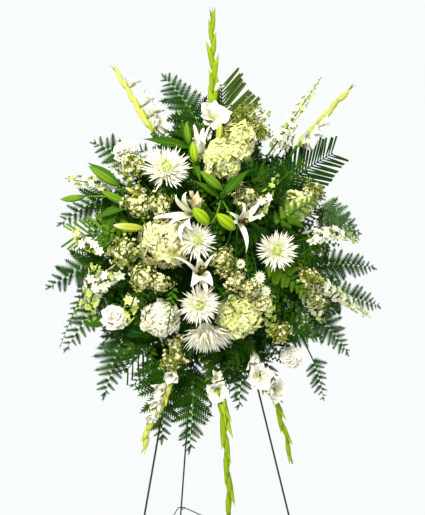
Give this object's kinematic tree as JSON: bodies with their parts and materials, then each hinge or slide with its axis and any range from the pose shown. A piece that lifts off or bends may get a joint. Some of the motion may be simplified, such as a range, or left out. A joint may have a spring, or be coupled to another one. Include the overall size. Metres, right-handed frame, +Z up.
{
  "type": "standing funeral spray",
  "caption": "Standing funeral spray of white and green flowers, ferns and palm in a foam tray on a folding three-legged wire easel.",
  "frame": {"origin": "middle of the whole box, on the floor under the spray", "axes": "+Z up, -Y the front that the flowers face, +X to the right as seen from the front"},
  "size_m": [0.892, 0.787, 1.7861],
  "materials": {
    "black_painted_wire": "satin black paint on steel wire",
    "steel_pin": "plain steel rivet",
    "green_plastic": "dark green moulded plastic",
    "wet_floral_foam": "matte green foam, full of water",
    "white_petal": "soft matte petal",
    "cream_petal": "soft matte petal, cream to pale green",
    "olive_bud": "matte bud",
    "bright_green": "smooth fresh stem and bud",
    "fern_green": "waxy frond",
    "dark_green": "waxy leaf"
  },
  "bodies": {
    "stand_and_flowers": {"broad_leaf_branch": "dark_green", "carnation_left": "white_petal", "carnation_low": "white_petal", "carnation_upper": "white_petal", "daisies": "white_petal", "easel_crossbar": "black_painted_wire", "easel_hinge_pin": "steel_pin", "easel_ledge": "black_painted_wire", "easel_left_leg": "black_painted_wire", "easel_right_leg": "black_painted_wire", "fern_left": "fern_green", "fern_low": "fern_green", "fern_low_left": "fern_green", "fern_low_right": "fern_green", "fern_right": "fern_green", "fern_upper_left": "fern_green", "fern_upper_right": "fern_green", "filler_left": "olive_bud", "filler_low": "olive_bud", "filler_middle": "olive_bud", "filler_right": "olive_bud", "filler_top": "olive_bud", "filler_upper_left": "olive_bud", "floral_foam": "wet_floral_foam", "foam_tray": "green_plastic", "gladiolus_low": "bright_green", "gladiolus_low_left": "bright_green", "gladiolus_low_right": "bright_green", "gladiolus_top": "bright_green", "gladiolus_upper_left": "bright_green", "gladiolus_upper_right": "bright_green", "hydrangea_left": "cream_petal", "hydrangea_low": "cream_petal", "hydrangea_low_left": "cream_petal", "hydrangea_top": "cream_petal", "hydrangea_upper": "cream_petal", "larkspur_left": "white_petal", "larkspur_low_left": "white_petal", "larkspur_low_right": "white_petal", "larkspur_middle": "white_petal", "larkspur_right": "white_petal", "larkspur_upper_right": "white_petal", "lily_left": "white_petal", "lily_middle": "white_petal", "lily_right": "white_petal", "lily_stem_left": "bright_green", "lily_stem_middle": "bright_green", "lily_stem_top": "bright_green", "mum_low": "white_petal", "mum_low_middle": "white_petal", "mum_middle": "white_petal", "mum_right": "white_petal", "mum_upper_left": "white_petal", "palm_left": "dark_green", "palm_right": "dark_green", "palm_top": "dark_green", "tie_left": "green_plastic", "tie_right": "green_plastic"},
    "rear_leg": {"easel_rear_leg": "black_painted_wire"},
    "spreader": {"easel_spreader": "black_painted_wire"}
  },
  "joints": [
    {"name": "rear_leg_fold", "type": "hinge", "parent": "stand_and_flowers", "child": "rear_leg", "pos_m": [-0.02621, -0.02608, 1.32782], "axis": [-1, 0, 0], "range_deg": [0, 25]},
    {"name": "spreader_lift", "type": "hinge", "parent": "stand_and_flowers", "child": "spreader", "pos_m": [-0.02621, -0.16473, 0.37111], "axis": [1, 0, 0], "range_deg": [0, 30]}
  ]
}
